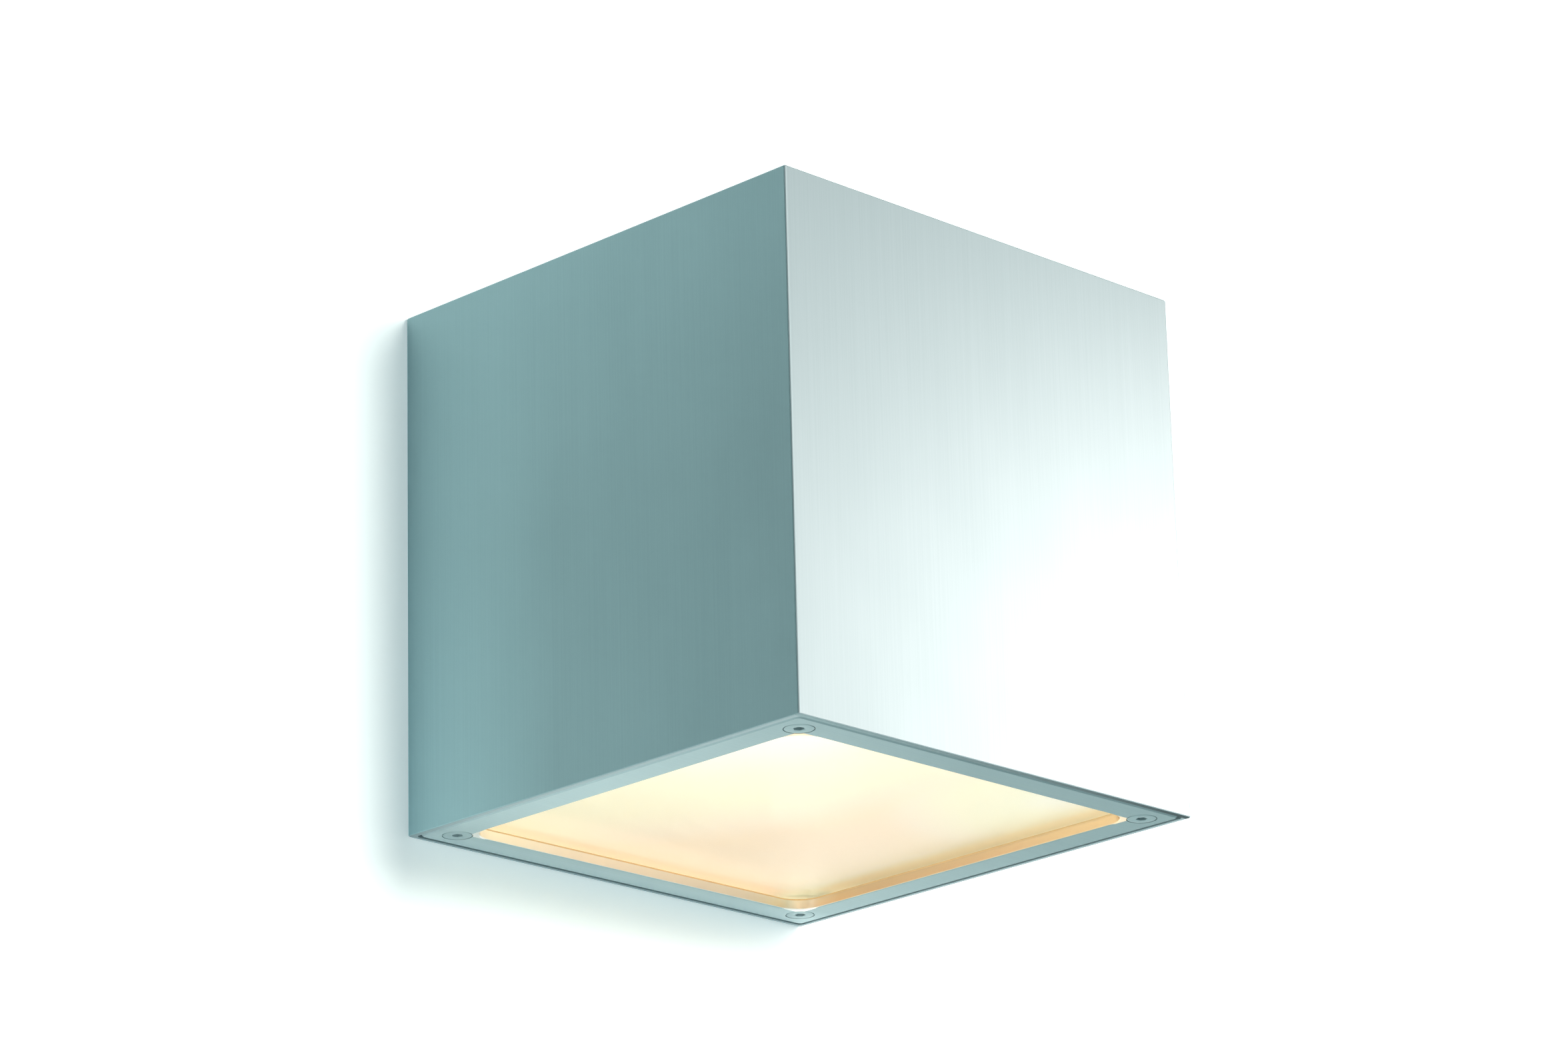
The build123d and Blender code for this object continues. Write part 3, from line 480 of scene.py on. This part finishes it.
def drawn_on(shape, loop, rings):
    """Extrudes a loop round Z to each (radius, height), in its own outline. Returns the last edges."""
    for radius, height in rings:
        grown = bmesh.ops.extrude_edge_only(shape, edges=loop)["geom"]
        verts = set(verts_of(grown))
        first = next(iter(verts))
        widest = max(v.co.xy.length for v in verts)
        bmesh.ops.scale(shape, verts=list(verts), vec=(radius / widest, radius / widest, 1))
        bmesh.ops.translate(shape, verts=list(verts), vec=(0, 0, height - first.co.z))
        loop = [e for e in edges_of(grown) if set(e.verts) <= verts]
    return loop


def rounded(shape, edges, radius, segments):
    """Rounds edges."""
    bmesh.ops.bevel(shape, geom=edges, offset=radius, offset_type="OFFSET", affect="EDGES",
                    segments=segments, profile=0.5, material=-1)


def level_cut(shape, height, side):
    """Cuts a mesh at a height and clears what is above it, or below it if side is -1. Returns the rim."""
    cut = bmesh.ops.bisect_plane(shape, geom=all_of(shape), plane_co=(0, 0, height), plane_no=(0, 0, side),
                                 clear_outer=True)
    return edges_of(cut["geom_cut"])


def placed_copies(shape, places):
    """One mesh with a copy of the shape at each place, which is a matrix."""
    single = bpy.data.meshes.new("single")
    shape.to_mesh(single)
    shape.free()
    copies = bmesh.new()
    for place in places:
        before = len(copies.verts)
        copies.from_mesh(single)
        copies.verts.ensure_lookup_table()
        bmesh.ops.transform(copies, verts=copies.verts[before:], matrix=place)
    bpy.data.meshes.remove(single)
    return copies


def finished(name, shape, materials, body, replaced):
    """Makes a piece from a mesh that stands in its place, rides on a body and replaces a CAD node."""
    bmesh.ops.recalc_face_normals(shape, faces=shape.faces)
    mesh = bpy.data.meshes.new(name)
    shape.to_mesh(mesh)
    shape.free()
    mesh.shade_smooth()
    mesh.set_sharp_from_angle(angle=sharp_from)
    for material in materials:
        mesh.materials.append(material)
    piece = bpy.data.objects.new(name, mesh)
    bpy.context.scene.collection.objects.link(piece)
    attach(piece, body)
    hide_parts(replaced)


# Socket screws. A thread is its radius at the crest, its radius at the root and its pitch.

thread_m3 = (1.5 * mm, 1.2 * mm, 0.5 * mm)
thread_m4 = (2.0 * mm, 1.62 * mm, 0.7 * mm)
thread_segments = 24
head_segments = 36
socket_edge_round = 0.08 * mm
drill_tip = (0.15 * mm, 0.3 * mm)    # of the hole drilled for a socket: its flat's radius, and its depth


def cut_thread(shape, thread, low, high):
    """A thread round Z, its outline spun up a helix and cut level at both ends. Returns the ends' edges."""
    crest, root, pitch = thread
    crest_flat = pitch / 8
    start = low - 1.5 * pitch
    turns = math.ceil((high - start) / pitch) + 2
    outline = [
        (root, 0),
        (crest, (pitch - crest_flat) / 2),
        (crest, (pitch + crest_flat) / 2),
        (root, pitch),
    ]
    corners = [shape.verts.new((radius, 0, start + height)) for radius, height in outline]
    profile = [shape.edges.new(pair) for pair in zip(corners, corners[1:])]
    bmesh.ops.spin(shape, geom=corners + profile, cent=(0, 0, 0), axis=(0, 0, 1),
                   dvec=(0, 0, pitch / thread_segments), angle=turns * math.tau,
                   steps=turns * thread_segments, use_merge=False)
    bmesh.ops.remove_doubles(shape, verts=shape.verts, dist=merge_distance)
    return level_cut(shape, low, -1), level_cut(shape, high, 1)


def socket_screw(outline, rim_round, rim_segments, key, key_depth, thread, length):
    """A screw that points along +Z. outline goes from the rim of the head's face down to the thread."""
    shape = bmesh.new()
    crest, root, pitch = thread
    chamfer = crest / 2
    run_in = 0.3 * pitch
    thread_start, thread_end = cut_thread(shape, thread, outline[-1][1] + run_in, length - chamfer)
    bmesh.ops.edgeloop_fill(shape, edges=drawn_on(shape, thread_end, [(crest - chamfer, length)]))

    face_radius, face = outline[0]
    rim = add_circle(shape, face_radius, head_segments, face)
    before = set(shape.edges)
    corner_radius = key / math.sqrt(3)
    hexagon = add_circle(shape, corner_radius, 6, face)
    bmesh.ops.subdivide_edges(shape, edges=hexagon, cuts=head_segments // 6 - 1)
    hexagon = new_edges(shape, before)
    bmesh.ops.bridge_loops(shape, edges=rim + hexagon)
    bottom = face + key_depth
    drill_flat, drill_depth = drill_tip
    drill = drawn_on(shape, hexagon, [(corner_radius, bottom), (drill_flat, bottom + drill_depth)])
    bmesh.ops.edgeloop_fill(shape, edges=drill)
    bmesh.ops.bridge_loops(shape, edges=drawn_on(shape, rim, outline[1:]) + thread_start)
    rounded(shape, hexagon, socket_edge_round, 2)
    rounded(shape, rim, rim_round, rim_segments)
    return shape


def countersunk_screws(name, face, turn, body, replaced, finish, keys):
    """The four M3 screws of the top plate or the frame. keys are the angles of their sockets, in degrees."""
    crest = thread_m3[0]
    head = 2.9 * mm
    lip = 0.2 * mm
    cone_end = lip + head - crest
    neck = 1.25 * mm
    neck_start, neck_end = 1.9 * mm, 2.5 * mm
    outline = [(head, 0), (head, lip), (crest, cone_end), (neck, neck_start), (neck, neck_end)]
    screw = socket_screw(outline, 0.05 * mm, 2, 2.0 * mm, 1.3 * mm, thread_m3, 14 * mm)
    across = tube_high.x - port_inset
    ports = [(x, y) for y in (tube_high.y - port_inset, tube_low.y + port_inset) for x in (-across, across)]
    places = [
        Matrix.Translation((x, y, face)) @ turn @ Matrix.Rotation(math.radians(key), 4, "Z")
        for (x, y), key in zip(ports, keys)
    ]
    finished(name, placed_copies(screw, places), [finishes[finish]], body, replaced)


def round_head_screws(node_name, body, slot, thread, head, head_height, key, count, upright):
    """The round-headed socket screws of a CAD node: one or two, side by side, up or into the wall."""
    low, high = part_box(node_name)
    middle = (low + high) / 2
    if upright:
        length = high.z - low.z - head_height
        under_head = Matrix.Translation((0, middle.y, low.z + head_height))
    else:
        length = high.y - low.y - head_height
        into_wall = Matrix.Rotation(-math.pi / 2, 4, "X")
        under_head = Matrix.Translation((0, low.y + head_height, middle.z)) @ into_wall
    places = []
    for number, x in enumerate((low.x + head, high.x - head)[:count]):
        key_angle = 0.4 + 1.3 * number
        places.append(Matrix.Translation((x, 0, 0)) @ under_head @ Matrix.Rotation(key_angle, 4, "Z"))

    crest = thread[0]
    neck = crest - 0.05 * mm
    neck_start, neck_end = 0.15 * mm, 0.3 * mm
    outline = [(head, -head_height), (head, 0), (crest, 0), (neck, neck_start), (neck, neck_end)]
    screw = socket_screw(outline, 0.8 * mm, 5, key, 1.2 * mm, thread, length)
    name = node_name.replace("screw", "socket_screw")
    finished(name, placed_copies(screw, places), [finishes[slot]], body, node_name)


countersunk_screws("frame_socket_screws", frame_low.z, Matrix.Identity(4), "diffuser", "frame_screws",
                   "frame_screw_metal", (12, 48, 5, 33))
countersunk_screws("top_socket_screws", tube_high.z, Matrix.Rotation(math.pi, 4, "X"), "housing",
                   "top_screws", "blasted_stainless", (40, 8, 25, 51))

# Radius and height of a round head, and its key
head_m3 = (2.75 * mm, 1.8 * mm, 2.5 * mm)
head_m4 = (3.8 * mm, 2.4 * mm, 3.0 * mm)
round_head_screws("fixing_screws", "housing", "stainless_steel", thread_m4, *head_m4, 2, True)
round_head_screws("holder_screws", "bracket", "stainless_steel", thread_m3, *head_m3, 2, True)
round_head_screws("arm_screws", "bracket", "stainless_steel", thread_m3, *head_m3, 2, False)
round_head_screws("block_screw", "bracket", "stainless_steel", thread_m3, *head_m3, 1, False)
round_head_screws("earth_screw", "bracket", "brass", thread_m4, *head_m4, 1, False)


# Terminal block and lampholder

def softened(name, node_name, edge_round, body, slot):
    """A moulded part with its outer edges and the mouths of its holes rounded, as the mould leaves them."""
    flat_within = math.radians(0.5)
    corner_from = math.radians(40)
    broad_from = 8 * mm * mm
    shape = bmesh.new()
    shape.from_mesh(nodes[node_name].data)
    bmesh.ops.remove_doubles(shape, verts=shape.verts, dist=merge_distance)
    bmesh.ops.dissolve_limit(shape, angle_limit=flat_within, verts=shape.verts, edges=shape.edges)
    corners = [e for e in shape.edges if e.calc_face_angle_signed(0) > corner_from]
    outer = [e for e in corners if max(f.calc_area() for f in e.link_faces) > broad_from]
    rounded(shape, outer, edge_round, 3)
    finished(name, shape, [finishes[slot]], body, node_name)


softened("moulded_block", "terminal_block", 0.35 * mm, "bracket", "polyamide")
softened("pressed_holder", "lampholder", 0.4 * mm, "bracket", "steatite")


# Filament

def coiled_filament():
    """The filament: a close coil of wire along X, hung between the ends of its two leads."""
    low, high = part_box("filament")
    middle_y = (low.y + high.y) / 2
    wire = 0.07 * mm
    coil_outer = 0.5 * mm
    coil_radius = coil_outer - wire
    axis_z = low.z + coil_outer
    turns = 21
    steps = 16
    lead = 0.22 * mm
    lead_x = high.x - 0.25 * mm
    lead_low = axis_z + coil_radius - 0.15 * mm
    lead_taper = 0.2 * mm

    shape = bmesh.new()
    section = bmesh.ops.create_circle(shape, segments=6, radius=wire)["verts"]
    start = Matrix.Translation((-lead_x, middle_y, axis_z + coil_radius))
    bmesh.ops.transform(shape, verts=section, matrix=start @ Matrix.Rotation(math.pi / 2, 4, "X"))
    bmesh.ops.spin(shape, geom=all_of(shape), cent=(0, middle_y, axis_z), axis=(1, 0, 0),
                   dvec=(2 * lead_x / (turns * steps), 0, 0), angle=turns * math.tau, steps=turns * steps,
                   use_merge=False)
    bmesh.ops.holes_fill(shape, edges=[e for e in shape.edges if e.is_boundary])
    coil_faces = len(shape.faces)
    for x in (-lead_x, lead_x):
        before = len(shape.verts)
        top = add_circle(shape, lead, 12, high.z)
        tip = drawn_on(shape, top, [(lead, lead_low + lead_taper), (0.6 * lead, lead_low)])
        bmesh.ops.edgeloop_fill(shape, edges=top)
        bmesh.ops.edgeloop_fill(shape, edges=tip)
        shape.verts.ensure_lookup_table()
        bmesh.ops.translate(shape, verts=shape.verts[before:], vec=(x, middle_y, 0))
    shape.faces.ensure_lookup_table()
    for face in shape.faces[coil_faces:]:
        face.material_index = 1
    materials = [finishes["hot_tungsten"], finishes["nickel_wire"]]
    finished("coiled_filament", shape, materials, "lamp", "filament")


coiled_filament()


# Backdrop: a white wall with a floor far below, both seen only from their front

def backdrop_white(name):
    """Matt white paint. A little light of its own brings it up to white, and the object's shadow stays on
    it. It is clear from behind. The patch that the object covers is clear to all but the camera, so that the
    back of the object isn't dark when it is seen from behind."""
    material, tree, shader = new_material(name)
    tree.nodes.remove(shader)
    path = add_node(tree, "ShaderNodeLightPath").outputs
    seen = add_node(tree, "ShaderNodeMath", {0: path["Is Camera Ray"], 1: path["Is Glossy Ray"]},
                    operation="MAXIMUM")
    seen = add_node(tree, "ShaderNodeMath", {0: seen, 1: path["Is Transmission Ray"]}, operation="MAXIMUM")
    lift = add_node(tree, "ShaderNodeMath", {0: seen, 1: 0.42}, operation="MULTIPLY")
    paint = add_node(tree, "ShaderNodeBsdfDiffuse", {0: "#E2EDEE"})
    glow = add_node(tree, "ShaderNodeEmission", {0: "#E8F4F5", 1: lift})
    lit = add_node(tree, "ShaderNodeAddShader", {0: paint, 1: glow})

    patch_half = tube_high.x - 1 * mm
    patch = within_square(tree, pattern_place(tree, patch_half, 1.0, patch_half), 0, 2)
    patch = add_node(tree, "ShaderNodeMath", {0: patch, 1: path["Is Camera Ray"]}, operation="SUBTRACT",
                     use_clamp=True)
    backfacing = add_node(tree, "ShaderNodeNewGeometry").outputs["Backfacing"]
    open_part = add_node(tree, "ShaderNodeMath", {0: backfacing, 1: patch}, operation="MAXIMUM")
    clear = add_node(tree, "ShaderNodeBsdfTransparent")
    sided = add_node(tree, "ShaderNodeMixShader", {0: open_part, 1: lit, 2: clear})
    connect(tree, tree.nodes["Material Output"], {"Surface": sided})
    return material


def wall_and_floor():
    """One sheet, drawn down the wall from its upper edge and then out over the floor."""
    wall_gap = 0.2 * mm
    wall_reach = 3.0
    floor_drop = 1.6
    shape = bmesh.new()
    upper = [shape.verts.new((side * wall_reach, wall_gap, wall_reach)) for side in (-1, 1)]
    edge = [shape.edges.new(upper)]
    for move in ((0, 0, -wall_reach - floor_drop), (0, -2 * wall_reach, 0)):
        grown = bmesh.ops.extrude_edge_only(shape, edges=edge)["geom"]
        verts = verts_of(grown)
        bmesh.ops.translate(shape, verts=verts, vec=move)
        edge = [e for e in edges_of(grown) if set(e.verts) <= set(verts)]
    bmesh.ops.recalc_face_normals(shape, faces=shape.faces)
    shape.faces.ensure_lookup_table()
    if shape.faces[0].normal.y > 0:
        bmesh.ops.reverse_faces(shape, faces=shape.faces)
    mesh = bpy.data.meshes.new("backdrop")
    shape.to_mesh(mesh)
    shape.free()
    mesh.materials.append(backdrop_white("backdrop_white"))
    backdrop = bpy.data.objects.new("backdrop", mesh)
    bpy.context.scene.collection.objects.link(backdrop)


wall_and_floor()


# Light

def softbox(name, place, aim, size, level, colour, spread=180):
    """A round soft light that renders white paper facing it at the given level. spread is in degrees."""
    lamp = bpy.data.lights.new(name, "AREA")
    lamp.shape = "DISK"
    lamp.size = size
    lamp.spread = math.radians(spread)
    towards = Vector(aim) - Vector(place)
    half_spread = math.radians(spread / 2)
    narrowing = 1 - half_spread / math.tan(half_spread)
    lamp.energy = level * math.pi**2 * towards.length**2 * narrowing
    lamp.color = linear(colour)[:3]
    holder = bpy.data.objects.new(name, lamp)
    holder.location = place
    holder.rotation_euler = towards.to_track_quat("-Z", "Y").to_euler()
    holder.visible_camera = False
    bpy.context.scene.collection.objects.link(holder)


softbox("key", (0.17, -3.0, 0.28), (0, -0.11, 0), 0.44, 0.88, "#FFF6EE")
softbox("side", (0.2, -0.27, 0.0), (0.05, -0.11, -0.03), 0.14, 1.9, "#FFEAE2", 80)
softbox("behind", (0.7, 1.6, 0.5), (0, 0, 0), 1.2, 1.0, "#FFFFFF")

# The object's own lamp, which moves with it
lamp_glow = bpy.data.lights.new("lamp_glow", "POINT")
lamp_glow.shadow_soft_size = 4.5 * mm
lamp_glow.energy = 0.055
lamp_glow.color = linear("#FFDBAA")[:3]
glow_holder = bpy.data.objects.new("lamp_glow", lamp_glow)
glow_holder.location = bulb_middle
glow_holder.parent = frame["bodies"]["lamp"]
bpy.context.scene.collection.objects.link(glow_holder)

# A room that is darker on the left, and plain and pale where the camera sees it past the backdrop
world = bpy.data.worlds.new("room")
world.use_nodes = True
bpy.context.scene.world = world
room = world.node_tree
direction = add_node(room, "ShaderNodeTexCoord").outputs["Generated"]
sideways = add_node(room, "ShaderNodeSeparateXYZ", {0: direction}).outputs[0]
across = add_node(room, "ShaderNodeMapRange", {0: sideways, 1: -0.9, 2: 0.9, 3: 0.0, 4: 1.0})
room_colour = add_node(room, "ShaderNodeMix", {0: across, 6: "#24444A", 7: "#92A6AA"}, data_type="RGBA")
camera_ray = add_node(room, "ShaderNodeLightPath").outputs["Is Camera Ray"]
seen_room = add_node(room, "ShaderNodeMix", {0: camera_ray, 6: room_colour, 7: "#F4F6F6"}, data_type="RGBA")
connect(room, room.nodes["Background"], {"Color": seen_room})


# Camera, from the photograph's corners

image_width = 2352
focal_length_px = 8402
sensor = 36.0
azimuth = math.radians(-45.23)
elevation = math.radians(-18.83)
roll = math.radians(-1.46)
distance = 1.111
across_offset = 0.0031
up_offset = -0.0605

back = Vector((math.sin(azimuth) * math.cos(elevation), -math.cos(azimuth) * math.cos(elevation),
               math.sin(elevation)))
level_right = (-back).cross(Vector((0, 0, 1))).normalized()
level_up = level_right.cross(-back)
right = level_right * math.cos(roll) + level_up * math.sin(roll)
up = level_up * math.cos(roll) - level_right * math.sin(roll)
under_middle = Vector((tube_middle.x, tube_middle.y, tube_low.z))
place = under_middle + back * distance - right * across_offset - up * up_offset

camera = bpy.data.objects.new("camera", bpy.data.cameras.new("camera"))
camera.data.sensor_width = sensor
camera.data.lens = focal_length_px / image_width * sensor
camera.data.clip_start = 0.01
camera.matrix_world = Matrix.Translation(place) @ Matrix((right, up, back)).transposed().to_4x4()
bpy.context.scene.collection.objects.link(camera)
bpy.context.scene.camera = camera
bpy.context.scene.view_settings.view_transform = "Standard"
